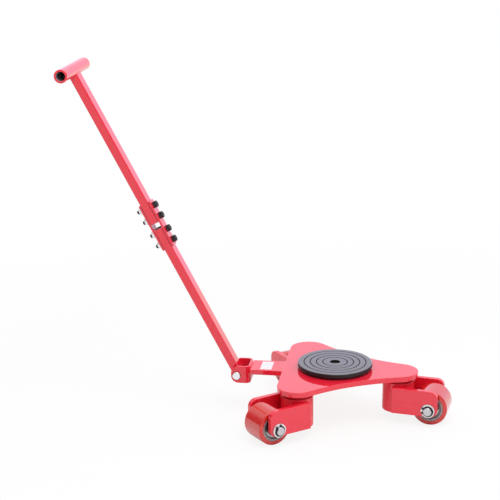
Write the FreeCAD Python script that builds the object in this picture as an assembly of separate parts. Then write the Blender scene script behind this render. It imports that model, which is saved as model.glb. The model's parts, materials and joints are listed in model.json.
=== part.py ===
import FreeCAD, Part
import math
import os

# Machine skate: a steel deck on three swivel casters, with a turning load pad and a tow handle.
# Millimetres, +Z up, origin at the centre of the load pad's top face. The handle tows towards -X,
# so the left side is -Y. Heights are stacked downwards, from the pad to the rollers.

# Fits and gaps
fit = 0.05                     # radial clearance of a pin, shaft or bush in its hole
running_gap = 0.3              # between faces that move past each other
weld_gap = 0.1                 # between a curved face and the piece welded to it
overrun = 2.0                  # how far a cut runs past the face that it opens
plate_edge_round = 1.0         # on the edges of the tongue, the clevis, the fork plates and the grip
least_corner = 30.0            # degrees between two faces that meet at a corner and not at a bend
hex_chamfer_angle = 30.0       # degrees that a nut's ends slope back at its corners
hex_face_share = 0.95          # flat end of a nut, as a share of its width across flats

# Load pad, a grooved rubber disc bonded to a steel turntable plate
pad_radius = 90.0
pad_thickness = 8.0
pad_edge_round = 1.5
pad_hole_radius = 12.5
groove_count = 4
groove_pitch = 15.0
groove_width = 2.6
groove_depth = 2.0
turntable_inset = 2.0          # how far the plate stands back from the pad's edge
turntable_thickness = 4.0
slip_ring_radius = 62.0
slip_ring_bore = 30.0
slip_ring_thickness = 3.0

# Pivot bolt that holds the turntable to the deck
pivot_bolt_radius = 6.0
pivot_head_flats = 18.0
pivot_head_height = 3.5
pivot_washer_radius = 14.0
pivot_washer_thickness = 2.5
pivot_nut_flats = 18.0
pivot_nut_height = 10.0
pivot_bolt_tail = 2.0          # thread left beyond the nut

# Deck plate: three round lobes joined by two hollow sides and one straight side at the tow end
deck_thickness = 13.0
deck_edge_round = 1.0
pivot_radius = 154.0           # turntable axis to each caster's swivel axis
half_spread = 60.0             # degrees between a lobe and the middle of the side beside it
lobe_radius = 47.0
hollow_depth = 19.0            # middle of a hollow side behind the straight line along its two lobes

# Tow tongue and clevis
tongue_length = 80.0
tongue_width = 70.0
tongue_thickness = 12.0
tongue_drop = 3.0              # deck top to tongue top
clevis_plate = 5.0
clevis_width = 64.0
clevis_depth = 46.5            # outer face of the web to the ends of the ears
clevis_height = 42.8
clevis_rise = 3.4              # clevis top above deck top
clevis_bend_radius = 12.0
ear_corner_radius = 18.0
ear_edge = 13.6                # pin axis to the ends of the ears
handle_pin_drop = 21.0         # deck top to pin axis

# Handle pin with its head on the left and a spring clip on the right
handle_pin_radius = 6.0
pin_head_radius = 9.5
pin_head_height = 3.6
pin_head_chamfer = 1.0
pin_tail = 5.0                 # pin beyond the right ear
pin_clip_radius = 9.2
pin_clip_thickness = 1.0
pin_groove_depth = 0.5

# Handle: two rectangular tubes joined by splice plates, with a cross tube as its grip
handle_pitch = 62.1            # degrees above the floor, as it stands
handle_length = 832.0          # pin axis to grip axis
tube_width = 35.0
tube_height = 21.0
tube_wall = 2.5
tube_corner_radius = 2.5
tube_tail = 14.0               # lower tube beyond the pin axis
splice_place = 413.0           # pin axis to the middle of the splice
splice_gap = 15.0
splice_length = 122.0
splice_width = 31.0
splice_thickness = 5.0
splice_corner_radius = 2.0
inner_screw_spread = 18.0      # splice middle to the near screws
outer_screw_edge = 14.0        # far screws to the ends of the splice plates
screw_radius = 5.0
screw_hole_radius = 5.4
screw_length = 45.0
screw_head_radius = 8.0
screw_head_height = 10.0
screw_head_chamfer = 0.8
screw_socket_flats = 8.0
screw_socket_depth = 5.0
nut_flats = 16.0
nut_height = 8.4
grip_radius = 16.0
grip_wall = 5.0
grip_length = 204.0
sleeve_radius = 8.0
sleeve_side_gap = 0.5          # sleeve end to clevis ear

# Swivel: kingpin, bush, and a thrust roller bearing inside a rubber seal
kingpin_radius = 12.5
kingpin_spigot = 6.0           # depth of the kingpin's seat in the deck
kingpin_thread_radius = 10.0
kingpin_tail = 2.0             # thread left beyond the nut
kingpin_nut_flats = 30.0
kingpin_nut_height = 15.0
kingpin_washer_radius = 22.0
kingpin_washer_thickness = 3.0
bush_wall = 3.5
race_radius = 34.0
race_bore = 16.0
race_thickness = 2.2
roller_radius = 2.2
roller_length = 12.0
roller_count = 12
seal_radius = 36.5
seal_wall = 2.0

# Caster fork: a round swivel housing with a plate welded along each side
housing_radius = 38.5
housing_rise = 5.7             # housing above the plates' top edges
housing_drop = 4.0             # housing below the plates' lower edges
housing_edge_round = 1.0
housing_pocket_radius = 26.0
housing_pocket_depth = 33.0
fork_plate = 12.0
fork_height = 63.6
fork_back = 5.7                # swivel axis to the plates' ends behind it
fork_reach = 22.0              # axle to the plates' ends beyond it
fork_top_corner = 19.0
fork_low_corner = 17.0
axle_rise = 15.6               # lower edge of the fork to the axle
left_caster_angle = -139.7     # degrees from +X to the way that the caster trails
right_caster_angle = 128.0     # degrees
rear_caster_angle = -9.5       # degrees

# Axle with its washers and spring clips
axle_radius = 10.0
axle_overhang = 9.5            # axle beyond the fork's outer face
axle_chamfer = 1.0
axle_washer_radius = 16.4
axle_washer_thickness = 4.0
axle_clip_radius = 13.2
axle_clip_thickness = 1.4
axle_groove_depth = 0.5
clip_eccentricity_share = 0.05
clip_lug_share = 0.21
clip_gap_share = 0.45
clip_lug_lean = 24.0           # degrees from the middle of the gap to each lug
left_clip_angle = -17.0        # degrees that the clips' gaps lean back from straight up
right_clip_angle = 70.0        # degrees
rear_clip_angle = 85.0         # degrees

# Roller: bonded tread on a cast hub with two shielded ball bearings
wheel_radius = 42.5
wheel_clearance = 2.0          # tread to swivel housing
wheel_side_gap = 4.6           # tread's side to fork plate
tread_thickness = 10.0
tread_edge_round = 3.5
hub_inset = 1.0                # hub face behind the tread's side
hub_rim = 4.5                  # flat rim outside the hub's side recess
hub_recess_depth = 2.5
hub_recess_round = 1.0
hub_bore_radius = 15.0
bearing_radius = 23.5
bearing_width = 14.0
bearing_inset = 1.0            # bearing face behind the hub's recess
bearing_outer_wall = 3.0
bearing_inner_wall = 3.5
shield_thickness = 1.0
shield_gap = 0.4
spacer_wall = 2.5

# Heights that follow from the stack below the pad
turntable_top = -pad_thickness
slip_ring_top = turntable_top - turntable_thickness
deck_top = slip_ring_top - slip_ring_thickness
deck_bottom = deck_top - deck_thickness
bearing_height = 2 * race_thickness + 2 * roller_radius
seat_top = deck_bottom - bearing_height
fork_top = seat_top - housing_rise
fork_bottom = fork_top - fork_height
housing_bottom = fork_bottom - housing_drop
axle_height = fork_bottom + axle_rise

# Places and turns that follow from the deck, the clevis, the casters and the splice
lobe_bearings = {"left": -2 * half_spread, "right": 2 * half_spread, "rear": 0.0}
caster_turns = {"left": left_caster_angle, "right": right_caster_angle, "rear": rear_caster_angle}
clip_turns = {"left": left_clip_angle, "right": right_clip_angle, "rear": rear_clip_angle}
lobe_line = pivot_radius * math.cos(math.radians(half_spread)) + lobe_radius
waist_radius = lobe_line - hollow_depth
deck_front = -lobe_line
clevis_back = deck_front - tongue_length
handle_pin_x = clevis_back - clevis_depth + ear_edge
handle_pin_z = deck_top - handle_pin_drop
fork_inner_half = housing_radius + weld_gap
fork_half_width = fork_inner_half + fork_plate
wheel_width = 2 * (fork_inner_half - wheel_side_gap)
trail = housing_radius + wheel_clearance + wheel_radius    # swivel axis to axle
clevis_inner_width = clevis_width - 2 * clevis_plate
outer_screw_spread = splice_length / 2 - outer_screw_edge

up = FreeCAD.Vector(0, 0, 1)
across = FreeCAD.Vector(0, 1, 0)
ahead = FreeCAD.Vector(1, 0, 0)
origin = FreeCAD.Vector(0, 0, 0)


def polar(radius, degrees, centre=origin):
    """Point at a radius and bearing round a centre, in plan."""
    turn = math.radians(degrees)
    return centre + FreeCAD.Vector(radius * math.cos(turn), radius * math.sin(turn), 0)


def disc(radius, low, height, centre=origin):
    """Upright cylinder from the height low."""
    return Part.makeCylinder(radius, height, FreeCAD.Vector(centre.x, centre.y, low), up)


def ring(radius, bore, low, height):
    """Upright ring from the height low."""
    return disc(radius, low, height).cut(disc(bore, low - overrun, height + 2 * overrun))


def cross_rod(radius, half_length, x, z):
    """Cylinder that lies along Y, centred on the middle plane."""
    return Part.makeCylinder(radius, 2 * half_length, FreeCAD.Vector(x, -half_length, z), across)


def hex_corner_radius(flats):
    return flats / (2 * math.cos(math.pi / 6))


def hexagon(flats, low, height):
    """Upright hexagonal prism, named by its width across flats."""
    corners = [polar(hex_corner_radius(flats), k * 360 / 6) for k in range(6)]
    outline = Part.makePolygon(corners + corners[:1])
    return Part.Face(outline).extrude(up * height).translated(up * low)


def hex_head(flats, low, height):
    """Hexagonal head or nut, its corners sloped back at both ends."""
    face_radius = hex_face_share * flats / 2
    outside = hex_corner_radius(flats) + overrun
    run = (outside - face_radius) * math.tan(math.radians(hex_chamfer_angle))
    top = low + height
    envelope = turned([(0, low, 0), (face_radius, low, 0), (outside, low + run, 0), (outside, top - run, 0),
                       (face_radius, top, 0), (0, top, 0)])
    return hexagon(flats, low, height).common(envelope)


def rounded_face(corners):
    """Flat face through the corners (x, y, round), each round replaced by a tangent arc."""
    count = len(corners)
    points = [FreeCAD.Vector(x, y, 0) for x, y, _ in corners]
    starts = []
    ends = []
    middles = []
    for k, (_, _, round_radius) in enumerate(corners):
        to_last = (points[k - 1] - points[k]).normalize()
        to_next = (points[(k + 1) % count] - points[k]).normalize()
        half_angle = to_last.getAngle(to_next) / 2
        bisector = (to_last + to_next).normalize()
        run = round_radius / math.tan(half_angle)
        starts.append(points[k] + to_last * run)
        ends.append(points[k] + to_next * run)
        middles.append(points[k] + bisector * (round_radius / math.sin(half_angle) - round_radius))
    edges = []
    for k in range(count):
        if corners[k][2] > 0:
            edges.append(Part.Arc(starts[k], middles[k], ends[k]).toShape())
        edges.append(Part.makeLine(ends[k], starts[(k + 1) % count]))
    return Part.Face(Part.Wire(edges))


def prism(corners, low, height):
    """Upright prism on a rounded outline given in plan."""
    return rounded_face(corners).extrude(up * height).translated(up * low)


def side_prism(corners, half_width):
    """Prism across the middle plane on a rounded outline given in (x, z)."""
    solid = rounded_face(corners).extrude(up * 2 * half_width).translated(up * -half_width)
    return solid.rotated(origin, ahead, 90)


def turned(corners):
    """Solid turned about Z from a rounded half section given in (radius, z)."""
    return rounded_face(corners).revolve(origin, across, 360).rotated(origin, ahead, 90)


def laid_across(shape, x, z):
    """Turns a piece made about Z so that its axis lies along Y at the place (x, z)."""
    return shape.rotated(origin, ahead, 90).translated(FreeCAD.Vector(x, 0, z))


def mirrored_pair(shape):
    """A piece and its twin on the other side of the middle plane."""
    return [shape, shape.mirror(origin, across)]


def eased(solid):
    """Rounds off a piece's corners, but not the lines where its bends run out."""
    corners = []
    for edge in solid.Edges:
        place = edge.valueAt((edge.FirstParameter + edge.LastParameter) / 2)
        faces = solid.ancestorsOfType(edge, Part.Face)
        normals = [face.normalAt(*face.Surface.parameter(place)) for face in faces]
        if math.degrees(normals[0].getAngle(normals[-1])) > least_corner:
            corners.append(edge)
    return solid.makeFillet(plate_edge_round, corners)


def spring_clip(bore, radius, thickness, low):
    """External spring clip: an eccentric ring with a gap and two lugs, the gap towards +Y."""
    offset = FreeCAD.Vector(0, -clip_eccentricity_share * radius, 0)
    clip = disc(radius, low, thickness, offset)
    for lean in (90 - clip_lug_lean, 90 + clip_lug_lean):
        clip = clip.fuse(disc(clip_lug_share * radius, low, thickness, polar(radius, lean)))
    gap_width = clip_gap_share * bore
    slot = Part.makeBox(gap_width, 2 * radius, thickness, FreeCAD.Vector(-gap_width / 2, 0, low))
    clip = clip.cut(disc(bore, low - overrun, thickness + 2 * overrun)).cut(slot)
    return clip.removeSplitter()


def save(node, solids):
    """Writes one node, a single solid or a group of separate ones."""
    shape = solids[0] if len(solids) == 1 else Part.makeCompound(solids)
    shape.exportStep("parts/" + node + ".step")


def lobe_centre(side):
    return polar(pivot_radius, lobe_bearings[side])


def deck_face():
    """Deck outline: lobes about the swivel axes, hollow sides tangent to them, a straight tow side."""
    neck = waist_radius - lobe_radius
    side_centre_radius = (pivot_radius ** 2 - neck ** 2) / (2 * hollow_depth)
    right_hollow = polar(side_centre_radius, half_spread)
    left_hollow = polar(side_centre_radius, -half_spread)

    def bearing(start, end):
        return math.degrees(math.atan2(end.y - start.y, end.x - start.x))

    def lobe(side, start, end):
        centre = lobe_centre(side)
        places = (start, (start + end) / 2, end)
        return Part.Arc(*[polar(lobe_radius, place, centre) for place in places])

    rear_lean = bearing(lobe_centre("rear"), right_hollow)
    right_lean = bearing(lobe_centre("right"), right_hollow)
    left_lean = 360 + bearing(lobe_centre("left"), left_hollow)
    rear = lobe("rear", -rear_lean, rear_lean)
    right = lobe("right", right_lean, 180)
    left = lobe("left", 180, left_lean)
    right_side = Part.Arc(rear.EndPoint, polar(waist_radius, half_spread), right.StartPoint)
    left_side = Part.Arc(left.EndPoint, polar(waist_radius, -half_spread), rear.StartPoint)
    tow_side = Part.LineSegment(right.EndPoint, left.StartPoint)
    curves = (rear, right_side, right, tow_side, left, left_side)
    return Part.Face(Part.Wire([curve.toShape() for curve in curves]))


def deck_plate():
    plate = deck_face().extrude(up * deck_thickness).translated(up * deck_bottom)
    rims = [edge for edge in plate.Edges if edge.BoundBox.ZLength < deck_edge_round]
    plate = plate.makeFillet(deck_edge_round, rims)
    plate = plate.cut(disc(pivot_bolt_radius + fit, deck_bottom - overrun, deck_thickness + 2 * overrun))
    for side in lobe_bearings:
        seat = disc(kingpin_radius + fit, deck_bottom - overrun, kingpin_spigot + overrun, lobe_centre(side))
        plate = plate.cut(seat)
    return plate


def tow_tongue():
    top = deck_top - tongue_drop
    half = tongue_width / 2
    corners = [(clevis_back, -half, 0), (deck_front, -half, 0), (deck_front, half, 0), (clevis_back, half, 0)]
    bar = prism(corners, top - tongue_thickness, tongue_thickness)
    long_edges = [edge for edge in bar.Edges if edge.BoundBox.XLength > plate_edge_round]
    return bar.makeFillet(plate_edge_round, long_edges)


def tow_clevis():
    """Plate bent round upright lines: a web against the tongue and two ears for the handle pin."""
    top = deck_top + clevis_rise
    bottom = top - clevis_height
    ear_end = clevis_back - clevis_depth
    half = clevis_width / 2
    inner_half = clevis_inner_width / 2
    inner_bend = clevis_bend_radius - clevis_plate
    web_face = clevis_back - clevis_plate
    block = prism([(ear_end, half, 0), (ear_end, -half, 0), (clevis_back, -half, clevis_bend_radius),
                   (clevis_back, half, clevis_bend_radius)], bottom, clevis_height)
    throat = prism([(ear_end - overrun, inner_half, 0), (ear_end - overrun, -inner_half, 0),
                    (web_face, -inner_half, inner_bend), (web_face, inner_half, inner_bend)],
                   bottom - overrun, clevis_height + 2 * overrun)
    ear_outline = side_prism([(ear_end, top, ear_corner_radius), (ear_end, bottom, ear_corner_radius),
                              (clevis_back + overrun, bottom, 0), (clevis_back + overrun, top, 0)],
                             half + overrun)
    pin_hole = cross_rod(handle_pin_radius + fit, half + overrun, handle_pin_x, handle_pin_z)
    return eased(block.cut(throat).common(ear_outline)).cut(pin_hole)


def handle_pin():
    """Headed pin, made upright with its head at the top, then laid with the head to the left."""
    half = clevis_width / 2
    groove_top = -half - running_gap
    groove_bottom = groove_top - pin_clip_thickness - 2 * fit
    tail = -half - pin_tail
    groove_radius = handle_pin_radius - pin_groove_depth
    head_top = half + pin_head_height
    section = [(0, tail, 0), (handle_pin_radius, tail, 0), (handle_pin_radius, groove_bottom, 0),
               (groove_radius, groove_bottom, 0), (groove_radius, groove_top, 0),
               (handle_pin_radius, groove_top, 0), (handle_pin_radius, half, 0), (pin_head_radius, half, 0),
               (pin_head_radius, head_top - pin_head_chamfer, 0),
               (pin_head_radius - pin_head_chamfer, head_top, 0), (0, head_top, 0)]
    return laid_across(turned(section), handle_pin_x, handle_pin_z)


def handle_pin_clip():
    low = -clevis_width / 2 - running_gap - pin_clip_thickness - fit
    bore = handle_pin_radius - pin_groove_depth + fit
    clip = spring_clip(bore, pin_clip_radius, pin_clip_thickness, low)
    return laid_across(clip, handle_pin_x, handle_pin_z)


def load_pad():
    """Rubber disc with concentric grooves and a hole over the pivot bolt."""
    pad = turned([(pad_hole_radius, -pad_thickness, 0), (pad_radius, -pad_thickness, 0),
                  (pad_radius, 0, pad_edge_round), (pad_hole_radius, 0, 0)])
    for k in range(groove_count):
        middle = pad_radius - groove_pitch * (k + 1)
        pad = pad.cut(ring(middle + groove_width / 2, middle - groove_width / 2, -groove_depth,
                           groove_depth + overrun))
    return pad


def pivot_bolt():
    """Bolt whose head stands in the pad's hole, clear of the plate that turns beneath it."""
    head_bottom = turntable_top + running_gap
    tail = deck_bottom - pivot_washer_thickness - pivot_nut_height - pivot_bolt_tail
    shank = disc(pivot_bolt_radius, tail, head_bottom - tail)
    return shank.fuse(hex_head(pivot_head_flats, head_bottom, pivot_head_height))


def turntable_plate():
    """Steel disc that carries the pad and turns on the slip ring."""
    radius = pad_radius - turntable_inset
    return ring(radius, pivot_bolt_radius + fit, slip_ring_top, turntable_thickness)


def pivot_washer():
    low = deck_bottom - pivot_washer_thickness
    return ring(pivot_washer_radius, pivot_bolt_radius + fit, low, pivot_washer_thickness)


def pivot_nut():
    low = deck_bottom - pivot_washer_thickness - pivot_nut_height
    bore = disc(pivot_bolt_radius + fit, low - overrun, pivot_nut_height + 2 * overrun)
    return hex_head(pivot_nut_flats, low, pivot_nut_height).cut(bore)


def race(low):
    """Flat race of a swivel's thrust bearing."""
    return ring(race_radius, race_bore, low, race_thickness)


def kingpin_levels():
    """Heights down the kingpin: washer top, nut top, nut bottom and the end of the thread."""
    washer_top = housing_bottom + housing_pocket_depth - running_gap
    nut_top = washer_top - kingpin_washer_thickness
    nut_bottom = nut_top - kingpin_nut_height
    return washer_top, nut_top, nut_bottom, nut_bottom - kingpin_tail


def kingpin():
    washer_top, _, _, tail = kingpin_levels()
    top = deck_bottom + kingpin_spigot
    return turned([(0, tail, 0), (kingpin_thread_radius, tail, 0), (kingpin_thread_radius, washer_top, 0),
                   (kingpin_radius, washer_top, 0), (kingpin_radius, top, 0), (0, top, 0)])


def kingpin_washer():
    _, nut_top, _, _ = kingpin_levels()
    return ring(kingpin_washer_radius, kingpin_thread_radius + fit, nut_top, kingpin_washer_thickness)


def kingpin_nut():
    _, _, nut_bottom, _ = kingpin_levels()
    bore = disc(kingpin_thread_radius + fit, nut_bottom - overrun, kingpin_nut_height + 2 * overrun)
    return hex_head(kingpin_nut_flats, nut_bottom, kingpin_nut_height).cut(bore)


def swivel_rollers():
    """Ring of rollers that lie along the radius between the two races of one swivel."""
    middle = seat_top + race_thickness + roller_radius
    inner_end = (race_radius + race_bore - roller_length) / 2
    rollers = []
    for k in range(roller_count):
        start = FreeCAD.Vector(inner_end, 0, middle)
        roller = Part.makeCylinder(roller_radius - fit, roller_length, start, ahead)
        rollers.append(roller.rotated(origin, up, k * 360 / roller_count))
    return rollers


def swivel_seal():
    """Rubber ring under the lobe, round the thrust bearing and just clear of the housing."""
    low = seat_top + running_gap
    return ring(seal_radius, seal_radius - seal_wall, low, deck_bottom - low)


def fork_plates():
    """Plates along both sides of the housing, rounded off beyond the axle."""
    front = trail + fork_reach
    outline = [(front, fork_top, fork_top_corner), (front, fork_bottom, fork_low_corner),
               (-fork_back, fork_bottom, 0), (-fork_back, fork_top, 0)]
    plate = eased(prism(outline, fork_inner_half, fork_plate).rotated(origin, ahead, 90))
    axle_hole = cross_rod(axle_radius + fit, fork_half_width + overrun, trail, axle_height)
    return mirrored_pair(plate.cut(axle_hole))


def swivel_housing():
    """Turned housing, bored for the kingpin's bush and hollowed from below for its nut."""
    bore = kingpin_radius + bush_wall + fit
    pocket_top = housing_bottom + housing_pocket_depth
    return turned([(housing_pocket_radius, housing_bottom, 0),
                   (housing_radius, housing_bottom, housing_edge_round),
                   (housing_radius, seat_top, housing_edge_round), (bore, seat_top, 0),
                   (bore, pocket_top, 0), (housing_pocket_radius, pocket_top, 0)])


def kingpin_bush():
    bottom = housing_bottom + housing_pocket_depth
    return ring(kingpin_radius + bush_wall, kingpin_radius + fit, bottom, seat_top - bottom)


def axle():
    """Plain axle with a groove for a spring clip outside each washer."""
    end = fork_half_width + axle_overhang
    groove_in = fork_half_width + axle_washer_thickness
    groove_out = groove_in + axle_clip_thickness + 2 * fit
    groove_radius = axle_radius - axle_groove_depth
    half_section = [(axle_radius, groove_in, 0), (groove_radius, groove_in, 0),
                    (groove_radius, groove_out, 0), (axle_radius, groove_out, 0),
                    (axle_radius, end - axle_chamfer, 0), (axle_radius - axle_chamfer, end, 0), (0, end, 0)]
    other_half = [(radius, -place, 0) for radius, place, _ in reversed(half_section)]
    return laid_across(turned(other_half + half_section), trail, axle_height)


def axle_washers():
    washer = ring(axle_washer_radius, axle_radius + fit, fork_half_width, axle_washer_thickness)
    return mirrored_pair(laid_across(washer, trail, axle_height))


def axle_clips(gap_lean):
    low = fork_half_width + axle_washer_thickness + fit
    bore = axle_radius - axle_groove_depth + fit
    clip = spring_clip(bore, axle_clip_radius, axle_clip_thickness, low).rotated(origin, up, gap_lean)
    return mirrored_pair(laid_across(clip, trail, axle_height))


def bearing_face():
    """Distance of each bearing's outer face from the roller's middle."""
    return wheel_width / 2 - hub_inset - hub_recess_depth - bearing_inset


def axle_spacers():
    start = bearing_face()
    spacer = ring(axle_radius + fit + spacer_wall, axle_radius + fit, start, fork_inner_half - start)
    return mirrored_pair(laid_across(spacer, trail, axle_height))


def bearing_inner_rings():
    bore = axle_radius + fit
    inner = ring(bore + bearing_inner_wall, bore, bearing_face() - bearing_width, bearing_width)
    return mirrored_pair(laid_across(inner, trail, axle_height))


def bearing_outer_rings():
    """Outer ring with a shield on each side that reaches almost to the inner ring."""
    outer_face = bearing_face()
    inner_face = outer_face - bearing_width
    shield_bore = axle_radius + fit + bearing_inner_wall + shield_gap
    wall_bore = bearing_radius - bearing_outer_wall
    outer = turned([(bearing_radius, inner_face, 0), (bearing_radius, outer_face, 0),
                    (shield_bore, outer_face, 0), (shield_bore, outer_face - shield_thickness, 0),
                    (wall_bore, outer_face - shield_thickness, 0),
                    (wall_bore, inner_face + shield_thickness, 0),
                    (shield_bore, inner_face + shield_thickness, 0), (shield_bore, inner_face, 0)])
    return mirrored_pair(laid_across(outer, trail, axle_height))


def wheel_hub():
    """Cast hub, recessed on both sides, bored for a bearing in each side."""
    radius = wheel_radius - tread_thickness
    face = wheel_width / 2 - hub_inset
    recess = face - hub_recess_depth
    shoulder = bearing_face() - bearing_width
    seat = bearing_radius + fit
    rim = radius - hub_rim
    half_section = [(radius, face, 0), (rim, face, 0), (rim, recess, hub_recess_round),
                    (seat, recess, 0), (seat, shoulder, 0), (hub_bore_radius, shoulder, 0)]
    other_half = [(place_radius, -place, round_radius) for place_radius, place, round_radius
                  in reversed(half_section)]
    return laid_across(turned(half_section + other_half), trail, axle_height)


def wheel_tread():
    """Cast polyurethane sleeve with rounded shoulders."""
    bore = wheel_radius - tread_thickness + fit
    half = wheel_width / 2
    tread = turned([(bore, -half, 0), (wheel_radius, -half, tread_edge_round),
                    (wheel_radius, half, tread_edge_round), (bore, half, 0)])
    return laid_across(tread, trail, axle_height)


def box_tube(start, end):
    """Rectangular tube along the handle, which is drawn lying along -X before it is tipped up."""
    half_width = tube_width / 2
    half_height = tube_height / 2

    def section(inset, corner_radius):
        wide = half_width - inset
        high = half_height - inset
        outline = [(wide, high, corner_radius), (-wide, high, corner_radius),
                   (-wide, -high, corner_radius), (wide, -high, corner_radius)]
        return rounded_face(outline).extrude(up * (end - start)).translated(up * start)

    tube = section(0, tube_corner_radius).cut(section(tube_wall, tube_corner_radius - tube_wall))
    return tube.rotated(origin, up, 90).rotated(origin, across, -90)


def screw_places():
    """Places of the four splice screws along the handle."""
    spreads = (-outer_screw_spread, -inner_screw_spread, inner_screw_spread, outer_screw_spread)
    return [FreeCAD.Vector(-splice_place - spread, 0, 0) for spread in spreads]


def drilled(piece):
    """Opens the splice screws' holes through a piece of the handle."""
    depth = tube_height + 2 * splice_thickness + 2 * overrun
    for place in screw_places():
        piece = piece.cut(disc(screw_hole_radius, -depth / 2, depth, place))
    return piece


def lower_tube():
    tube = box_tube(-tube_tail, splice_place - splice_gap / 2)
    return drilled(tube.cut(cross_rod(sleeve_radius + fit, tube_width, 0, 0)))


def upper_tube():
    """Upper tube, its end hollowed to sit on the cross tube."""
    tube = box_tube(splice_place + splice_gap / 2, handle_length)
    return drilled(tube.cut(cross_rod(grip_radius + weld_gap, tube_width, -handle_length, 0)))


def splice_plates():
    low_end = -splice_place + splice_length / 2
    high_end = -splice_place - splice_length / 2
    wide = splice_width / 2
    outline = [(low_end, wide, splice_corner_radius), (high_end, wide, splice_corner_radius),
               (high_end, -wide, splice_corner_radius), (low_end, -wide, splice_corner_radius)]
    plate = drilled(prism(outline, tube_height / 2, splice_thickness))
    return [plate, plate.mirror(origin, up)]


def splice_screws():
    """Socket-head screws, driven from the upper side."""
    under_head = tube_height / 2 + splice_thickness
    head_top = under_head + screw_head_height
    body = turned([(0, under_head - screw_length, 0), (screw_radius, under_head - screw_length, 0),
                   (screw_radius, under_head, 0), (screw_head_radius, under_head, 0),
                   (screw_head_radius, head_top - screw_head_chamfer, 0),
                   (screw_head_radius - screw_head_chamfer, head_top, 0), (0, head_top, 0)])
    socket = hexagon(screw_socket_flats, head_top - screw_socket_depth, screw_socket_depth + overrun)
    screw = body.cut(socket)
    return [screw.translated(place) for place in screw_places()]


def splice_nuts():
    top = -tube_height / 2 - splice_thickness
    bore = disc(screw_radius + fit, top - nut_height - overrun, nut_height + 2 * overrun)
    nut = hex_head(nut_flats, top - nut_height, nut_height).cut(bore)
    return [nut.translated(place) for place in screw_places()]


def cross_tube(radius, bore, half_length, x):
    """Round tube across the handle."""
    return cross_rod(radius, half_length, x, 0).cut(cross_rod(bore, half_length + overrun, x, 0))


def handle_sleeve():
    half_length = clevis_inner_width / 2 - sleeve_side_gap
    return cross_tube(sleeve_radius, handle_pin_radius + fit, half_length, 0)


def grip_tube():
    return eased(cross_tube(grip_radius, grip_radius - grip_wall, grip_length / 2, -handle_length))


def tipped_up(solids):
    """Tips pieces of the handle up about the pin."""
    pin_place = FreeCAD.Vector(handle_pin_x, 0, handle_pin_z)
    return [solid.rotated(origin, across, handle_pitch).translated(pin_place) for solid in solids]


def at_lobes(solids):
    """Copies the pieces made about the origin to all three swivel axes."""
    return [solid.translated(lobe_centre(side)) for side in lobe_bearings for solid in solids]


def under_lobe(solids, side):
    """Turns one caster's pieces to the way that it trails and sets them on its swivel axis."""
    turn = caster_turns[side]
    return [solid.rotated(origin, up, turn).translated(lobe_centre(side)) for solid in solids]


os.makedirs("parts", exist_ok=True)

save("deck_plate", [deck_plate()])
save("tow_tongue", [tow_tongue()])
save("tow_clevis", [tow_clevis()])
save("handle_pin", [handle_pin()])
save("handle_pin_clip", [handle_pin_clip()])

save("load_pad", [load_pad()])
save("turntable_plate", [turntable_plate()])
save("turntable_slip_ring", [ring(slip_ring_radius, slip_ring_bore, deck_top, slip_ring_thickness)])
save("turntable_bolt", [pivot_bolt()])
save("turntable_washer", [pivot_washer()])
save("turntable_nut", [pivot_nut()])

save("kingpins", at_lobes([kingpin()]))
save("kingpin_washers", at_lobes([kingpin_washer()]))
save("kingpin_nuts", at_lobes([kingpin_nut()]))
save("swivel_upper_races", at_lobes([race(deck_bottom - race_thickness)]))
save("swivel_rollers", at_lobes(swivel_rollers()))
save("swivel_seals", at_lobes([swivel_seal()]))

caster_pieces = {
    "fork_plates": fork_plates(),
    "swivel_housing": [swivel_housing()],
    "kingpin_bush": [kingpin_bush()],
    "swivel_lower_race": [race(seat_top)],
    "axle": [axle()],
    "axle_washers": axle_washers(),
    "axle_spacers": axle_spacers(),
    "bearing_inner_rings": bearing_inner_rings(),
    "bearing_outer_rings": bearing_outer_rings(),
    "wheel_hub": [wheel_hub()],
    "wheel_tread": [wheel_tread()],
}
for side in caster_turns:
    save(side + "_axle_clips", under_lobe(axle_clips(clip_turns[side]), side))
    for piece, solids in caster_pieces.items():
        save(side + "_" + piece, under_lobe(solids, side))

save("handle_sleeve", tipped_up([handle_sleeve()]))
save("handle_lower_tube", tipped_up([lower_tube()]))
save("handle_upper_tube", tipped_up([upper_tube()]))
save("splice_plates", tipped_up(splice_plates()))
save("splice_screws", tipped_up(splice_screws()))
save("splice_nuts", tipped_up(splice_nuts()))
save("grip_tube", tipped_up([grip_tube()]))
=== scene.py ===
import json
import math

import bpy
import numpy as np
from mathutils import Matrix, Vector


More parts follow.
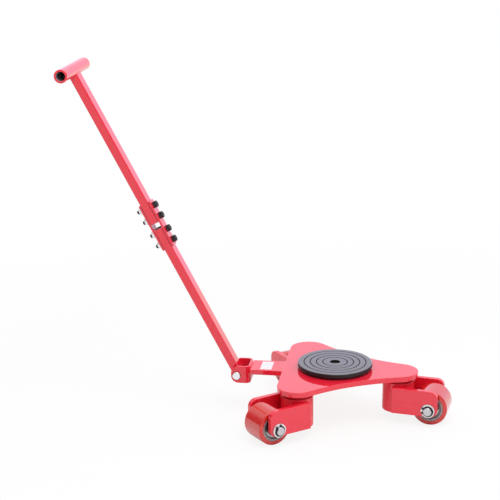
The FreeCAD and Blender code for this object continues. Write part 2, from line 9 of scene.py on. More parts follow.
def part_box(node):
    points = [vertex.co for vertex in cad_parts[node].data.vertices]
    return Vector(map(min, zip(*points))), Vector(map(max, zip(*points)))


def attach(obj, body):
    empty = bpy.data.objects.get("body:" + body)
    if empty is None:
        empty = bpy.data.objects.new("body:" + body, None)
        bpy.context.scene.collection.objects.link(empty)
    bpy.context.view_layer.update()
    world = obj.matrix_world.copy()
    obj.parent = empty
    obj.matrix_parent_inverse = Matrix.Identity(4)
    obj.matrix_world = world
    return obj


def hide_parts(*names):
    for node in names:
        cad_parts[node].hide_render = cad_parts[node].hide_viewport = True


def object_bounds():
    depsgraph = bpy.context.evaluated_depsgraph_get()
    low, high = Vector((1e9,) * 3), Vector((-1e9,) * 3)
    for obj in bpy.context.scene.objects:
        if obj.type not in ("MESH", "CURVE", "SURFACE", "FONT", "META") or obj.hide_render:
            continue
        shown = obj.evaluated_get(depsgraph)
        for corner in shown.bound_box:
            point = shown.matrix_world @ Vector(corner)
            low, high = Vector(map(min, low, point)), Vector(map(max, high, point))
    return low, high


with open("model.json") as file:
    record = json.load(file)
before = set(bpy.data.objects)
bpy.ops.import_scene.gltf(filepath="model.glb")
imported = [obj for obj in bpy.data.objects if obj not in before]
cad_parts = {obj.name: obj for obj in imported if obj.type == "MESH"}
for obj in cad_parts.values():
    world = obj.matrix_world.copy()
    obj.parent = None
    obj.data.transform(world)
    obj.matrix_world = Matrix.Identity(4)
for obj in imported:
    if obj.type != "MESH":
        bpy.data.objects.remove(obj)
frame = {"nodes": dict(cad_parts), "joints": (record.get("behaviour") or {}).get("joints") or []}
cad_low, cad_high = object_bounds()

# Deck plate
# One 13 mm steel plate, flame cut to three round lobes and shot blasted, then stove enamelled red with
# the rest of the steelwork. The enamel flows out glossy, with a faint orange peel, and rounds edges.
nodes = frame["nodes"]


class Wire:
    """One socket's value inside a finish. Sums, products and comparisons with it add Math nodes."""

    def __init__(self, finish, socket):
        self.finish = finish
        self.socket = socket

    def math(self, operation, *values):
        return self.finish.node("ShaderNodeMath", {"operation": operation}, dict(enumerate(values)))

    def __add__(self, other):
        return self.math("ADD", self, other)

    def __radd__(self, other):
        return self.math("ADD", other, self)

    def __sub__(self, other):
        return self.math("SUBTRACT", self, other)

    def __rsub__(self, other):
        return self.math("SUBTRACT", other, self)

    def __mul__(self, other):
        return self.math("MULTIPLY", self, other)

    def __rmul__(self, other):
        return self.math("MULTIPLY", other, self)

    def __lt__(self, other):
        return self.math("LESS_THAN", self, other)

    def __gt__(self, other):
        return self.math("GREATER_THAN", self, other)

    def __abs__(self):
        return self.math("ABSOLUTE", self)


class Finish:
    """A material or sky built node by node."""

    def __init__(self, owner):
        owner.use_nodes = True
        self.owner = owner
        self.tree = owner.node_tree
        self.tree.nodes.clear()

    def node(self, kind, settings, sockets, output=0):
        """Adds a node: its settings first, then the values or wires of its sockets. Gives one output."""
        made = self.tree.nodes.new(kind)
        for name, value in settings.items():
            setattr(made, name, value)
        for name, value in sockets.items():
            if isinstance(value, Wire):
                self.tree.links.new(value.socket, made.inputs[name])
            else:
                made.inputs[name].default_value = value
        return Wire(self, made.outputs[output]) if made.outputs else None

    def place(self):
        """Where a point of the surface lies at rest, in metres."""
        return self.node("ShaderNodeTexCoord", {}, {}, "Object")

    def centred(self, middle, turn=(0.0, 0.0, 0.0)):
        """Place as seen from a middle point, along axes turned by three angles."""
        sockets = {"Vector": self.place(), "Location": middle, "Rotation": turn}
        return self.node("ShaderNodeMapping", {"vector_type": "TEXTURE"}, sockets)

    def scaled(self, vector, factors):
        """A vector whose three parts are multiplied by three factors."""
        return self.node("ShaderNodeVectorMath", {"operation": "MULTIPLY"}, {0: vector, 1: factors})

    def length(self, vector):
        """How long a vector is."""
        return self.node("ShaderNodeVectorMath", {"operation": "LENGTH"}, {0: vector}, "Value")

    def off_axis(self, middle, yaw=0.0):
        """Distance from the level line through a middle point that lies along Y when yaw is 0."""
        return self.length(self.scaled(self.centred(middle, (0.0, 0.0, yaw)), (1.0, 0.0, 1.0)))

    def part(self, vector, axis):
        """One of a vector's three parts."""
        return self.node("ShaderNodeSeparateXYZ", {}, {"Vector": vector}, axis)

    def noise(self, scale, detail=2.0, vector=None):
        """Cloudy values from 0 to 1, with scale as the number of clouds in a metre."""
        sockets = {"Vector": vector or self.place(), "Scale": scale, "Detail": detail}
        return self.node("ShaderNodeTexNoise", {}, sockets)

    def mix(self, share, first, second):
        """Colour from first to second as share goes from 0 to 1. A Mix node takes colours at its sockets
        6 and 7 and gives the mixed one at 2."""
        return self.node("ShaderNodeMix", {"data_type": "RGBA"}, {0: share, 6: first, 7: second}, 2)

    def ramp(self, value, low, high):
        """Value stretched so that low becomes 0 and high becomes 1, held between them."""
        sockets = {0: value, 1: low, 2: high}
        return self.node("ShaderNodeMapRange", {"interpolation_type": "SMOOTHSTEP"}, sockets)

    def bump(self, height, depth, strength=1.0, edge=0.0005):
        """Normals of a relief whose height of 1 stands for depth metres, over edges rounded by a
        radius."""
        rounded = self.node("ShaderNodeBevel", {"samples": 8}, {"Radius": edge})
        sockets = {"Strength": strength, "Distance": depth, "Height": height, "Normal": rounded}
        return self.node("ShaderNodeBump", {}, sockets)

    def surface(self, **sockets):
        """Closes the finish with a principled surface."""
        named = {name.replace("_", " "): value for name, value in sockets.items()}
        shader = self.node("ShaderNodeBsdfPrincipled", {}, named)
        self.node("ShaderNodeOutputMaterial", {}, {"Surface": shader})
        return self.owner


def dressed(material, *names):
    """Gives the named CAD pieces one finish."""
    for name in names:
        nodes[name].data.materials.clear()
        nodes[name].data.materials.append(material)


def enamel(name, bare_or_shaded=None, under=(0.028, 0.022, 0.022, 1)):
    """Red stove enamel: slow drifts of tone, a glossy skin with fine orange peel and a few dust nibs.
    Where the mask passed in, a function of the finish, gives 1, the colour under shows instead of the
    paint: bare steel where the paint didn't reach, or painted shade, a dark colour laid where shade
    falls. The default colour under, near black, is that painted shade."""
    deep_red = (0.89, 0.015, 0.040, 1)
    clear_red = (0.94, 0.019, 0.048, 1)
    nib_red = (0.66, 0.008, 0.024, 1)
    finish = Finish(bpy.data.materials.new(name))
    drift = finish.noise(scale=7.0)
    nibs = finish.ramp(finish.noise(scale=900.0, detail=1.0), low=0.70, high=0.78)
    peel = finish.noise(scale=300.0)
    tone = finish.mix(drift, deep_red, clear_red)
    colour = finish.mix(0.25 * nibs, tone, nib_red)
    rough = 0.05 + 0.03 * drift + 0.15 * nibs
    gloss = 0.70 - 0.35 * nibs
    if bare_or_shaded:
        # The mask's share of bare steel or painted shade replaces the paint's colour and gloss.
        share = bare_or_shaded(finish)
        colour = finish.mix(share, colour, under)
        rough = rough + 0.5 * share
        gloss = gloss * (1 - share)
    return finish.surface(
        Base_Color=colour,
        Roughness=rough,
        Coat_Weight=gloss,
        Coat_Roughness=0.03,
        Normal=finish.bump(peel + 0.3 * nibs, depth=0.00001, edge=0.001),
    )


red_enamel = enamel("red_enamel")
dressed(red_enamel, "deck_plate")

# Tow tongue
# A flat steel bar butted against the deck's straight side and welded to it at both edges and beneath.
# A small blank label, white plastic film, is stuck across its top.
tongue_low, tongue_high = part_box("tow_tongue")
dressed(red_enamel, "tow_tongue")


def skin(name, rings, material, body):
    """Closed mesh over a stack of rings, an array of (ring, place round it, xyz), with a point at each
    end. Each ring runs anticlockwise as seen from the end of the stack, so the faces point outwards."""
    count, around, _ = rings.shape
    points = np.concatenate([rings.reshape(-1, 3), rings[0].mean(0)[None], rings[-1].mean(0)[None]])
    here = np.arange(around)
    there = (here + 1) % around
    rows = np.arange(count - 1)[:, None] * around
    quads = np.stack([rows + here, rows + there, rows + around + there, rows + around + here], -1)
    last = (count - 1) * around
    first_cap = np.stack([np.full(around, count * around), there, here], -1)
    last_cap = np.stack([np.full(around, count * around + 1), last + here, last + there], -1)
    mesh = bpy.data.meshes.new(name)
    faces = quads.reshape(-1, 4).tolist() + first_cap.tolist() + last_cap.tolist()
    mesh.from_pydata(points.tolist(), [], faces)
    mesh.materials.append(material)
    piece = bpy.data.objects.new(name, mesh)
    bpy.context.scene.collection.objects.link(piece)
    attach(piece, body)
    return piece


def smooth(piece, degrees):
    """Shades the piece smooth, apart from edges sharper than the angle."""
    piece.data.shade_smooth()
    piece.data.set_sharp_from_angle(angle=math.radians(degrees))


def weld_bead(name, path, radius, body):
    """A weld run: a round section carried along a path of points. Along the run the section's radius is
    radius * (1 - dip * t^2), where t climbs from 0 to 1 over each ripple, and both ends are rounded
    off to a blunt tip."""
    ripple, dip, blunt = 0.9 * radius, 0.16, 0.05
    around, rings_in_ripple, fewest_rings, sharp_degrees = 14, 6, 8, 60
    path = np.asarray(path, float)
    steps = np.linalg.norm(np.diff(path, axis=0), axis=1)
    length = np.concatenate([[0.0], np.cumsum(steps)])
    count = max(fewest_rings, int(length[-1] / ripple * rings_in_ripple))
    along = np.linspace(0.0, length[-1], count)
    line = np.stack([np.interp(along, length, path[:, axis]) for axis in range(3)], -1)
    ahead = np.gradient(line, axis=0)
    ahead /= np.linalg.norm(ahead, axis=1)[:, None]
    least_followed = np.eye(3)[np.argmin(np.abs(ahead).max(0))]
    side = np.cross(least_followed, ahead)
    side /= np.linalg.norm(side, axis=1)[:, None]
    other = np.cross(ahead, side)
    climb = (along / ripple) % 1.0
    from_end = np.minimum(along, length[-1] - along) / radius
    ends = np.sqrt(np.clip(1 - (1 - np.clip(from_end, blunt, 1)) ** 2, 0, 1))
    size = radius * (1 - dip * climb ** 2) * ends
    turn = np.linspace(0.0, 2 * np.pi, around, endpoint=False)
    spokes = np.cos(turn)[None, :, None] * side[:, None] + np.sin(turn)[None, :, None] * other[:, None]
    rings = line[:, None] + size[:, None, None] * spokes
    smooth(skin(name, rings, red_enamel, body), sharp_degrees)


def rounded_outline(half_length, half_width, corner, around=48):
    """Rounded rectangle as points (x, y), anticlockwise: corner arcs set at the four inner corners."""
    turn = np.linspace(0.0, 2 * np.pi, around, endpoint=False) + np.pi / around
    return np.stack([np.sign(np.cos(turn)) * (half_length - corner) + corner * np.cos(turn),
                     np.sign(np.sin(turn)) * (half_width - corner) + corner * np.sin(turn)], -1)


def label_film():
    """White plastic film: a soft sheen with the faintest mottling."""
    finish = Finish(bpy.data.materials.new("label_film"))
    cloud = finish.noise(scale=160.0, detail=3.0)
    return finish.surface(
        Base_Color=finish.mix(cloud, (0.82, 0.82, 0.82, 1), (0.87, 0.87, 0.87, 1)),
        Roughness=0.28 + 0.1 * cloud,
        Normal=finish.bump(cloud, depth=0.00002),
    )


def blank_label():
    """Rounded rectangle of film laid on the tongue: its outline at three heights, drawn in at the top
    so that the edge is rounded."""
    half_length, half_width, corner, place = 0.0139, 0.0272, 0.0018, -0.1662
    thickness, lift, shoulder_share, drawn_in = 0.00018, 0.00002, 0.7, 0.00015
    levels = [(0.0, lift), (0.0, shoulder_share * thickness), (drawn_in, thickness)]
    rings = [np.pad(rounded_outline(half_length - inset, half_width - inset, corner), ((0, 0), (0, 1)),
                    constant_values=height) for inset, height in levels]
    skin("blank_label", np.array(rings) + (place, 0.0, tongue_high.z), label_film(), "deck")


blank_label()
bead = 0.0024
for side, edge in (("left", tongue_low.y), ("right", tongue_high.y)):
    upright = [(tongue_high.x, edge, tongue_low.z), (tongue_high.x, edge, tongue_high.z - bead)]
    weld_bead("tongue_weld_" + side, upright, bead, "deck")
beneath = [(tongue_high.x, edge, tongue_low.z) for edge in (tongue_low.y, tongue_high.y)]
weld_bead("tongue_weld_under", beneath, bead, "deck")

# Tow clevis and handle pin
# Plate bent to a U and welded to the end of the tongue, above and below. A zinc-plated pin with a round
# head carries the handle between the ears, and a spring clip holds it on the far side.
clevis_low, clevis_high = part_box("tow_clevis")
joints = {joint["name"]: joint for joint in frame["joints"]}
pin = np.array(joints["handle_pitch"]["pos_m"])


def clevis_painted_shade(finish):
    """Painted shade on the clevis: a dark ring on the outer faces of the ears round the pin, out to a
    millimetre past its head, and painted shade inside the U below its top edge, darker from the pin to
    the web."""
    wall, top_edge, skin_depth, hair = 0.005, 0.0012, 0.001, 0.0001
    shade_ring_radius, pin_reach = 0.0107, 0.012
    web = clevis_high.x - wall
    place = finish.place()
    along, across, height = (finish.part(place, axis) for axis in "XYZ")
    aside = abs(across)
    # Painted shade: a dark ring round the pin head on the ears' outer faces.
    pin_head_shade = (finish.off_axis(pin) < shade_ring_radius) * (aside > clevis_high.y - skin_depth)
    between = (aside < clevis_high.y - wall + hair) * (along < web + hair)
    inside = between * (height < clevis_high.z - top_edge)
    # Painted shade inside the U, darker towards the web.
    inside_shade = 0.06 + 0.28 * finish.ramp(along, clevis_low.x + pin_reach, web)
    return 0.8 * pin_head_shade + inside * inside_shade


dressed(enamel("clevis_enamel", clevis_painted_shade), "tow_clevis")


def bright_metal(name, dark, light, rough, scratches, metal=1.0):
    """Plated or ground steel: clouds of tone over a bright metal, and fine scratches, so many to a
    metre. A metal below 1 stands for the haze of a passivated plate."""
    finish = Finish(bpy.data.materials.new(name))
    cloud = finish.noise(scale=60.0, detail=4.0)
    grain = finish.noise(scratches, detail=3.0)
    return finish.surface(
        Base_Color=finish.mix(cloud, dark, light),
        Metallic=metal,
        Roughness=rough + 0.14 * cloud,
        Normal=finish.bump(grain, depth=0.00002, strength=0.6),
    )


zinc_plate = bright_metal("zinc_plate", (0.90, 0.90, 0.92, 1), (0.95, 0.95, 0.96, 1),
                          rough=0.26, scratches=1800.0)
dressed(zinc_plate, "handle_pin", "handle_pin_clip")
web_half = 0.020
for place, height in (("top", tongue_high.z), ("under", tongue_low.z)):
    seam = [(clevis_high.x, -web_half, height), (clevis_high.x, web_half, height)]
    weld_bead("clevis_weld_" + place, seam, bead, "deck")

# Turntable and load pad
# A black steel plate turns on a bronze slip ring, and a grooved rubber pad is bonded to its top. The
# pivot bolt's head stands in the pad's hole, with its washer and nut under the deck.


def black_steel_finish():
    """Black oxide on turned steel, a little worn."""
    finish = Finish(bpy.data.materials.new("black_steel"))
    cloud = finish.noise(scale=45.0, detail=4.0)
    grain = finish.noise(scale=1400.0)
    return finish.surface(
        Base_Color=finish.mix(cloud, (0.014, 0.014, 0.016, 1), (0.040, 0.039, 0.042, 1)),
        Metallic=0.35,
        Roughness=0.22 + 0.15 * cloud,
        Normal=finish.bump(grain, depth=0.00003, strength=0.5),
    )


def moulded_rubber():
    """Moulded rubber, grey-black and smooth on top with a trace of bloom, dull below that, and painted
    near black there as shade in the grooves and down the sides. The pad's top is at a height of 0."""
    top_skin, sunk_shade_black = 0.0006, (0.010, 0.010, 0.011, 1)
    finish = Finish(bpy.data.materials.new("pad_rubber"))
    bloom = finish.noise(scale=22.0, detail=5.0)
    pebble = finish.noise(scale=1500.0)
    # Below the top skin the rubber is dull, and its colour is painted near black there as shade.
    sunk = finish.part(finish.place(), "Z") < -top_skin
    tone = finish.mix(bloom, (0.042, 0.040, 0.048, 1), (0.054, 0.052, 0.061, 1))
    return finish.surface(
        Base_Color=finish.mix(sunk, tone, sunk_shade_black),
        Roughness=0.08 + 0.05 * bloom + 0.45 * sunk,
        Coat_Weight=(0.90 + 0.1 * bloom) * (1 - sunk),
        Coat_Roughness=0.06,
        Normal=finish.bump(pebble, depth=0.00002, strength=0.4),
    )


black_steel = black_steel_finish()
bronze = bright_metal("bronze", (0.50, 0.33, 0.15, 1), (0.62, 0.43, 0.21, 1),
                      rough=0.30, scratches=900.0)
dressed(moulded_rubber(), "load_pad")
dressed(black_steel, "turntable_plate", "turntable_bolt")
dressed(bronze, "turntable_slip_ring")
dressed(zinc_plate, "turntable_washer", "turntable_nut")

# Kingpins and thrust bearings
# Each lobe holds a ground kingpin. A flat race under the lobe, a ring of rollers and a race on the
# caster's housing take the load inside a red rubber seal. A nut under the housing keeps the caster on.


def seal_rubber():
    """Dark red rubber, matt."""
    finish = Finish(bpy.data.materials.new("seal_rubber"))
    bloom = finish.noise(scale=40.0, detail=3.0)
    return finish.surface(
        Base_Color=finish.mix(bloom, (0.40, 0.006, 0.012, 1), (0.48, 0.008, 0.016, 1)),
        Roughness=0.55 + 0.15 * bloom,
        Specular_IOR_Level=0.2,
        Normal=finish.bump(bloom, depth=0.00004),
    )


ground_steel = bright_metal("ground_steel", (0.52, 0.53, 0.55, 1), (0.66, 0.67, 0.69, 1),
                            rough=0.20, scratches=2200.0)
dressed(ground_steel, "kingpins", "swivel_upper_races", "swivel_rollers")
dressed(zinc_plate, "kingpin_washers", "kingpin_nuts")
dressed(seal_rubber(), "swivel_seals")

# Casters
# A turned housing with a flat plate welded to each side, down both edges of the seam. The axle is plain
# bar through the plates, kept by a black spring clip outside a pale zinc washer at each end.


def spring_steel():
    """Phosphated spring steel, matt black."""
    finish = Finish(bpy.data.materials.new("black_spring_steel"))
    cloud = finish.noise(scale=200.0, detail=3.0)
    return finish.surface(
        Base_Color=finish.mix(cloud, (0.012, 0.012, 0.013, 1), (0.030, 0.030, 0.032, 1)),
        Metallic=0.3,
        Roughness=0.35 + 0.2 * cloud,
        Normal=finish.bump(cloud, depth=0.00004),
    )


class Caster:
    """Where one caster stands: its swivel axis, the way it trails, and the middle of its roller."""

    def __init__(self, side):
        roll = joints[side + "_wheel_roll"]
        self.side = side
        self.pivot = np.array(joints[side + "_swivel_turn"]["pos_m"])
        self.middle = np.array(roll["pos_m"])
        self.across = np.array(roll["axis"])
        self.trail = np.array([self.across[1], -self.across[0], 0.0])
        self.yaw = math.atan2(self.trail[1], self.trail[0])

    def at(self, along, aside, height):
        """Point along the trail and aside of it, from the swivel axis, at a height in the frame."""
        return self.pivot * (1, 1, 0) + along * self.trail + aside * self.across + (0, 0, height)

    def off_axle(self, finish):
        """Distance from the middle line of the axle."""
        return finish.off_axis(self.middle, self.yaw)

    def painted_shade(self, finish):
        """Painted shade on the plates round the axle, out to a millimetre past its washers."""
        shade_ring_radius = 0.0175
        return 0.65 * (self.off_axle(finish) < shade_ring_radius)


clip_steel = spring_steel()
dull_zinc = bright_metal("dull_zinc", (0.92, 0.92, 0.93, 1), (0.96, 0.96, 0.965, 1),
                         rough=0.40, scratches=1800.0, metal=0.45)
casters = [Caster(side) for side in ("left", "right", "rear")]
seam_bead, seam_end = 0.0019, 0.001
seams = {"back": (-0.0057, 0.0384), "front": (0.01225, 0.0375)}  # along the trail, and aside of it
for caster in casters:
    side = caster.side
    # Each fork's enamel carries painted shade on its plates round the axle.
    dressed(enamel(side + "_fork_enamel", caster.painted_shade), side + "_fork_plates")
    dressed(red_enamel, side + "_swivel_housing")
    dressed(bronze, side + "_kingpin_bush")
    dressed(ground_steel, side + "_swivel_lower_race", side + "_axle")
    dressed(dull_zinc, side + "_axle_washers")
    dressed(clip_steel, side + "_axle_clips")
    plate_low, plate_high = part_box(side + "_fork_plates")
    ends = (plate_low.z + seam_end, plate_high.z - seam_end)
    for place, (along, aside) in seams.items():
        for hand, sign in (("left", -1), ("right", 1)):
            seam = [caster.at(along, sign * aside, height) for height in ends]
            weld_bead("_".join((side, "housing_weld", place, hand)), seam, seam_bead, side + "_swivel")

# Rollers
# A cast iron hub runs on two shielded ball bearings and carries a bonded tread of cast polyurethane,
# turned true and left glossy.


def cast_iron(caster):
    """Cast iron with open grain: faced to a light grey on its rim, and left darker inside the rim."""
    rim_inside, cast_grey = 0.0279, (0.20, 0.185, 0.19, 1)
    finish = Finish(bpy.data.materials.new(caster.side + "_hub_iron"))
    grain = finish.noise(scale=700.0, detail=4.0)
    cloud = finish.noise(scale=50.0, detail=3.0)
    faced = finish.mix(cloud, (0.30, 0.285, 0.28, 1), (0.40, 0.385, 0.38, 1))
    return finish.surface(
        Base_Color=finish.mix(caster.off_axle(finish) < rim_inside, faced, cast_grey),
        Metallic=0.55,
        Roughness=0.34 + 0.2 * grain,
        Normal=finish.bump(grain, depth=0.00006),
    )


def bearing_finish(caster):
    """Bearing steel: bright on the outer ring, and darker on the shields inside it."""
    shield_radius, shield_grey = 0.0205, (0.22, 0.205, 0.21, 1)
    finish = Finish(bpy.data.materials.new(caster.side + "_bearing_steel"))
    shield = caster.off_axle(finish) < shield_radius
    cloud = finish.noise(scale=90.0, detail=3.0)
    bright = finish.mix(cloud, (0.42, 0.415, 0.42, 1), (0.55, 0.545, 0.55, 1))
    return finish.surface(
        Base_Color=finish.mix(shield, bright, shield_grey),
        Metallic=1.0,
        Roughness=0.20 + 0.1 * cloud + 0.15 * shield,
        Normal=finish.bump(cloud, depth=0.00001),
    )


def polyurethane(caster):
    """Red polyurethane: cloudy depth of colour, and the fine rings of its turning, round the axle, as
    noise that is drawn out fiftyfold across the axle."""
    drawn_out = (0.02, 1.0, 0.02)
    finish = Finish(bpy.data.materials.new(caster.side + "_polyurethane"))
    turned = finish.scaled(finish.centred(caster.middle, (0.0, 0.0, caster.yaw)), drawn_out)
    rings = finish.noise(scale=1600.0, vector=turned)
    cloud = finish.noise(scale=30.0, detail=3.0)
    return finish.surface(
        Base_Color=finish.mix(cloud, (0.66, 0.012, 0.006, 1), (0.74, 0.020, 0.010, 1)),
        Roughness=0.10 + 0.08 * rings,
        Coat_Weight=0.80 + 0.2 * rings,
        Coat_Roughness=0.06,
        Normal=finish.bump(rings, depth=0.00002, edge=0.0015),
    )


# Dark grey steel for the bearings' inner rings and the axle spacers.
dark_grey_steel = bright_metal("dark_grey_steel", (0.16, 0.16, 0.17, 1), (0.24, 0.24, 0.25, 1),
                           rough=0.34, scratches=1500.0)
for caster in casters:
    side = caster.side
    dressed(dark_grey_steel, side + "_bearing_inner_rings", side + "_axle_spacers")
    dressed(bearing_finish(caster), side + "_bearing_outer_rings")
    dressed(cast_iron(caster), side + "_wheel_hub")
    dressed(polyurethane(caster), side + "_wheel_tread")

# Handle
# Two lengths of box tube on a steel sleeve, joined by plates above and below with four cap screws, and
# a round cross tube welded to the end as the grip. Inside, the grip is bare and dark grey; the box
# tubes' bores are painted near black as shade, and painted shade lies along their corners under the
# splice plates.
grip_low, grip_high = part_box("grip_tube")
grip_middle = np.array((grip_low + grip_high) / 2)
handle_length = np.linalg.norm(grip_middle - pin)
handle_down = (pin - grip_middle) / handle_length
handle_across = np.array([0.0, 1.0, 0.0])
handle_face = np.cross(handle_down, handle_across)
plates_low, plates_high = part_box("splice_plates")
splice = (pin - np.array((plates_low + plates_high) / 2)) @ handle_down


def tube_painted_shade(finish):
    """Painted shade: 1 within the box tube's bore, 15 by 8 mm each way from its middle, and a tenth of a
    mm more, and a half share along the tube's round corners where the splice plates cover them."""
    bore_across, bore_up, corner_up, hair, covered = 0.015, 0.008, 0.0085, 0.0001, 0.061
    pitch = math.atan2(-handle_down[2], handle_down[0])
    on_tube = finish.centred(pin, (0.0, pitch, 0.0))
    along, across, height = (finish.part(on_tube, axis) for axis in "XYZ")
    aside, off = abs(across), abs(height)
    # Painted shade: the bore is painted near black.
    bore = (aside < bore_across + hair) * (off < bore_up + hair)
    # Painted shade along the round corners under the splice plates, at half strength.
    joint = (abs(along + splice) < covered) * (aside > bore_across) * (off > corner_up)
    return bore + 0.5 * joint


def inside_grip(finish):
    """1 within the grip's bore, 11 mm in radius about the grip's own axis, and a tenth of a mm more."""
    bore, hair = 0.011, 0.0001
    return finish.off_axis(grip_middle) < bore + hair


dressed(enamel("tube_enamel", tube_painted_shade), "handle_lower_tube", "handle_upper_tube")
dressed(enamel("grip_enamel", inside_grip, under=(0.30, 0.25, 0.27, 1)), "grip_tube")
dressed(red_enamel, "splice_plates")
dressed(zinc_plate, "handle_sleeve", "splice_nuts")


def on_handle(points):
    """Points given as (towards the pin, across, above the tube's middle), set on the handle."""
    return pin + points @ np.array([handle_down, handle_across, handle_face])


def cap_screws():
    """Socket cap screws: one turned section whose radius changes with the turn. Round the head it is
    knurled, in the socket it is a hexagon, and along the shank a thread of triangular section climbs
    one pitch with each turn. Heights are above the tube's middle."""
    around, flutes, pitch, levels_in_pitch, sharp_degrees = 144, 36, 0.0015, 6, 35
    head, shank, seat, top, socket_floor = 0.008, 0.005, 0.0155, 0.0255, 0.0205
    tip, tip_radius, thread_top, point = -0.0295, 0.0036, -0.0145, 0.0005
    lead_length, lead_share, lead_power = 0.0012, 0.35, 0.25
    knurl_depth, thread_depth, socket_flats = 0.00032, 0.0009, 0.008
    foot_bevel, knurl_foot, knurl_end, knurl_top = 0.0004, 0.0009, 0.0016, 0.0011
    crown_drop, crown_in, crown_bevel, socket_bevel = 0.0006, 0.0002, 0.0009, 0.0005
    places = (-0.047, -0.018, 0.018, 0.047)
    turn = np.linspace(0.0, 2 * np.pi, around, endpoint=False)
    hexagon = socket_flats / 2 / np.cos((turn + np.pi / 6) % (np.pi / 3) - np.pi / 6)
    knurled = head - knurl_depth * np.abs((turn * flutes / (2 * np.pi)) % 1.0 * 2 - 1)
    thread_heights = np.arange(tip + point, thread_top, pitch / levels_in_pitch)
    climb = (thread_heights[:, None] / pitch - turn / (2 * np.pi)) % 1.0
    run_out = np.minimum(1.0, (thread_top - thread_heights) / pitch)
    taper = np.minimum(1.0, (thread_heights - tip) / lead_length + lead_share) ** lead_power
    thread = (shank - thread_depth * run_out[:, None] * np.abs(climb * 2 - 1)) * taper[:, None]
    plain = [
        (thread_top, shank),
        (seat, shank),
        (seat, head - foot_bevel),
        (seat + foot_bevel, head),
        (seat + knurl_foot, knurled),
        (top - knurl_end, knurled),
        (top - knurl_top, head),
        (top - crown_drop, head - crown_in),
        (top, head - crown_bevel),
        (top, hexagon + socket_bevel),
        (top - socket_bevel, hexagon),
        (socket_floor, hexagon),
    ]
    heights = np.concatenate([[tip], thread_heights, [height for height, _ in plain]])
    plain_radii = np.array([np.broadcast_to(radius, around) for _, radius in plain])
    radii = np.concatenate([np.full((1, around), tip_radius), thread, plain_radii])
    levels = np.broadcast_to(heights[:, None], radii.shape)
    screw = np.stack([radii * np.cos(turn), radii * np.sin(turn), levels], -1)
    for number, place in enumerate(places):
        moved = on_handle(screw + (place - splice, 0.0, 0.0))
        piece = skin("cap_screw_%d" % (number + 1), moved, black_steel, "handle")
        smooth(piece, sharp_degrees)
        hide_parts("splice_screws")


cap_screws()


def grip_weld():
    """Weld round the tube's end where it sits on the cross tube: the tube's outline, carried down to
    the round of the cross tube, which stands sqrt(radius^2 - height^2) from the grip's axis."""
    half_width, half_height, corner, around, round_bead = 0.0175, 0.0105, 0.0025, 96, 0.0018
    radius = (grip_high.z - grip_low.z) / 2
    outline = rounded_outline(half_width, half_height, corner, around)
    outline = np.concatenate([outline, outline[:1]])
    down = np.sqrt(radius ** 2 - outline[:, 1] ** 2) - handle_length
    path = on_handle(np.stack([down, outline[:, 0], outline[:, 1]], -1))
    weld_bead("grip_weld", path, round_bead, "handle")


grip_weld()

# Floor, room and lamp
# A white studio: a pale floor, white all round, and one wide soft box overhead. A grey curtain hangs
# low on the camera's side and to the left, which gives the gloss something darker to mirror.
floor_height = cad_low.z


def stage_mesh(name, points, faces, material):
    """Adds a mesh that belongs to the studio and not to the skate."""
    mesh = bpy.data.meshes.new(name)
    mesh.from_pydata(points, [], faces)
    mesh.materials.append(material)
    made = bpy.data.objects.new(name, mesh)
    bpy.context.scene.collection.objects.link(made)
    return made


def floor_finish():
    """Floor that shows its own white, all of it far off. Near the skate the camera sees most of it, so
    that a light shadow is left, and mirrors see little, so that they darken with the shadow."""
    near_edge, far_edge, seen_share, mirrored_share = 0.8, 2.0, 0.86, 0.15
    finish = Finish(bpy.data.materials.new("floor_white"))
    camera_ray, mirror_ray, clear_ray = [finish.node("ShaderNodeLightPath", {}, {}, "Is %s Ray" % kind)
                                         for kind in ("Camera", "Glossy", "Transmission")]
    far = finish.ramp(finish.length(finish.place()), near_edge, far_edge)
    seen = seen_share + (1 - seen_share) * far
    mirrored = mirrored_share + (1 - mirrored_share) * far
    plain = finish.node("ShaderNodeBsdfDiffuse", {}, {"Color": (0.90, 0.90, 0.90, 1)})
    white = finish.node("ShaderNodeEmission", {}, {"Color": (1, 1, 1, 1), "Strength": 1.0})
    share = camera_ray * seen + (mirror_ray + clear_ray) * mirrored
    mixed = finish.node("ShaderNodeMixShader", {}, {0: share, 1: plain, 2: white})
    finish.node("ShaderNodeOutputMaterial", {}, {"Surface": mixed})
    return finish.owner


reach = 20.0
corners = [(x * reach, y * reach, floor_height) for x, y in ((-1, -1), (1, -1), (1, 1), (-1, 1))]
stage_mesh("floor", corners, [(0, 1, 2, 3)], floor_finish())

curtain_radius, curtain_height = 6.0, 5.0
backdrop_way = (0.42, 0.91, 0.0)


def curtain_finish():
    """Grey cloth, thinning out to nothing at its top and at both ends."""
    full_end, bare_end = -0.25 * curtain_radius, 0.10 * curtain_radius
    full_top, bare_top = 0.36 * curtain_height, 0.94 * curtain_height
    finish = Finish(bpy.data.materials.new("curtain_grey"))
    behind = finish.node("ShaderNodeVectorMath", {"operation": "DOT_PRODUCT"},
                         {0: finish.place(), 1: backdrop_way}, "Value")
    thin_ends = finish.ramp(behind, full_end, bare_end)
    thin_top = finish.ramp(finish.part(finish.place(), "Z"), full_top, bare_top)
    cloth = finish.node("ShaderNodeBsdfDiffuse", {}, {"Color": (0.25, 0.25, 0.25, 1)})
    nothing = finish.node("ShaderNodeBsdfTransparent", {}, {})
    share = (1 - thin_top) * (1 - thin_ends)
    mixed = finish.node("ShaderNodeMixShader", {}, {0: share, 1: nothing, 2: cloth})
    finish.node("ShaderNodeOutputMaterial", {}, {"Surface": mixed})
    return finish.owner


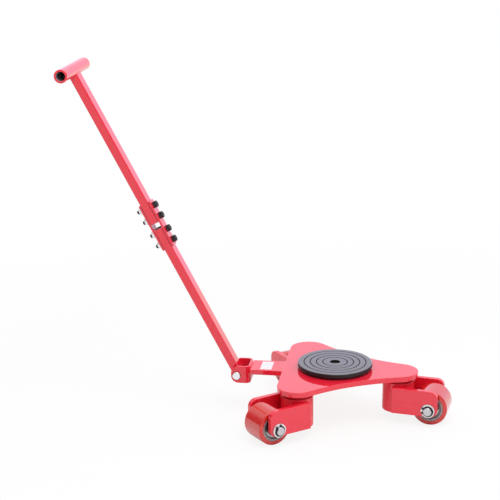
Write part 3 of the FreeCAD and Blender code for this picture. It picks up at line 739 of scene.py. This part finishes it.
def curtain():
    """Part of an upright cylinder: (radius cos a, radius sin a, height), with a spread to both sides of
    the way that leads from the backdrop to the skate. The camera doesn't see it."""
    steps, spread = 64, math.radians(106.0)
    middle = math.atan2(-backdrop_way[1], -backdrop_way[0])
    turn = middle + np.linspace(-spread, spread, steps)
    round_x, round_y = curtain_radius * np.cos(turn), curtain_radius * np.sin(turn)
    hem = np.stack([round_x, round_y, np.full(steps, floor_height)], -1)
    rail = np.stack([round_x, round_y, np.full(steps, curtain_height)], -1)
    here = np.arange(steps - 1)
    faces = np.stack([here, here + steps, here + steps + 1, here + 1], -1)
    hung = stage_mesh("curtain", np.concatenate([hem, rail]).tolist(), faces.tolist(), curtain_finish())
    hung.visible_camera = False


curtain()


def studio_sky():
    """White light from all round, a little cool towards the horizon."""
    cool_white, plain_white = (0.98, 0.94, 1.18, 1), (0.88, 0.88, 0.88, 1)
    world = bpy.data.worlds.new("studio")
    bpy.context.scene.world = world
    finish = Finish(world)
    overhead = finish.ramp(finish.part(finish.place(), "Z"), low=0.15, high=0.65)
    colour = finish.mix(overhead, cool_white, plain_white)
    sky = finish.node("ShaderNodeBackground", {}, {"Color": colour, "Strength": 1.0})
    finish.node("ShaderNodeOutputWorld", {}, {"Surface": sky})


studio_sky()
bpy.context.scene.view_settings.view_transform = "Standard"


def soft_box():
    """Wide lamp that hangs on the camera's side, to the right, and faces the skate."""
    place, aim = Vector((0.5, -0.9, 2.4)), Vector((-0.1, 0.0, 0.1))
    lamp = bpy.data.lights.new("soft_box", "AREA")
    lamp.shape = "RECTANGLE"
    lamp.size = 2.0
    lamp.size_y = 1.4
    lamp.energy = 28.0
    hung = bpy.data.objects.new("soft_box", lamp)
    hung.location = place
    hung.rotation_euler = (aim - place).to_track_quat("-Z", "Y").to_euler()
    bpy.context.scene.collection.objects.link(hung)


soft_box()

# Camera
# It stands on the skate's left, a little to the rear, and looks down at the deck from far enough off
# for little perspective. Places are in metres, the lens and its sensor in millimetres.
camera_place = (0.284440, -3.236138, 1.196444)
azimuth, elevation, roll = (math.radians(degrees) for degrees in (8.6222, 15.7415, -0.4212))
backward = Vector((math.sin(azimuth) * math.cos(elevation), -math.cos(azimuth) * math.cos(elevation),
                   math.sin(elevation)))
level_right = Vector((math.cos(azimuth), math.sin(azimuth), 0.0))
level_up = backward.cross(level_right)
right = math.cos(roll) * level_right + math.sin(roll) * level_up
upward = math.cos(roll) * level_up - math.sin(roll) * level_right
camera = bpy.data.cameras.new("camera")
camera.sensor_width = 36.0
camera.lens = 102.386
camera_object = bpy.data.objects.new("camera", camera)
turned = Matrix((right, upward, backward)).transposed().to_4x4()
camera_object.matrix_world = Matrix.Translation(camera_place) @ turned
bpy.context.scene.collection.objects.link(camera_object)
bpy.context.scene.camera = camera_object
